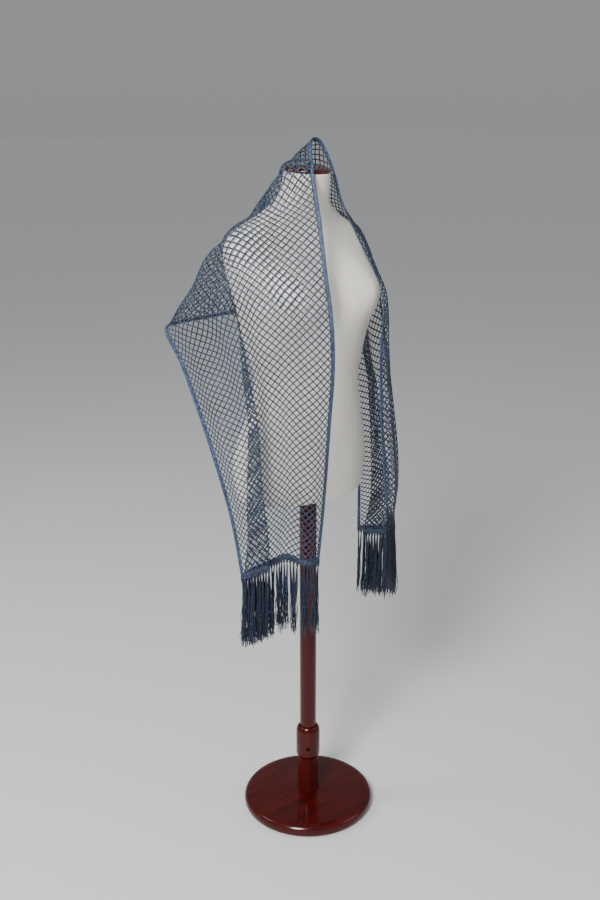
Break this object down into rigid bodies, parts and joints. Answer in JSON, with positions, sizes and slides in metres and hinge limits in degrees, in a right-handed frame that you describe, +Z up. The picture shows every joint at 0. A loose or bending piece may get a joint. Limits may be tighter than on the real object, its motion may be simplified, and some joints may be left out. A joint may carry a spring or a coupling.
{
  "type": "shawl on a dress form",
  "caption": "Long crocheted net shawl with solid borders and knotted fringe, worn over a limbless dress form on a turned wooden stand.",
  "frame": {"origin": "middle of the foot's underside, on the floor", "axes": "+Z up along the pole; the dress form faces -Y, so its right shoulder is on the -X side"},
  "size_m": [0.5001, 0.3647, 1.5782],
  "materials": {
    "net": "crocheted silky yarn, blue",
    "border": "close crocheted silky yarn, light blue",
    "fringe": "loose silky yarn, dark blue",
    "jersey": "stretched cream jersey",
    "lacquered_wood": "glossy mahogany lacquer",
    "screw": "blackened steel"
  },
  "bodies": {
    "root": {"net_right_front": "net", "net_right_shoulder": "net", "net_back": "net", "net_left_shoulder": "net", "net_left_front": "net", "border_inner": "border", "border_outer": "border", "fringe_right": "fringe", "fringe_left": "fringe", "torso": "jersey", "neck_cap": "lacquered_wood", "pole": "lacquered_wood", "socket": "lacquered_wood", "socket_screw": "screw", "foot": "lacquered_wood"}
  },
  "joints": []
}
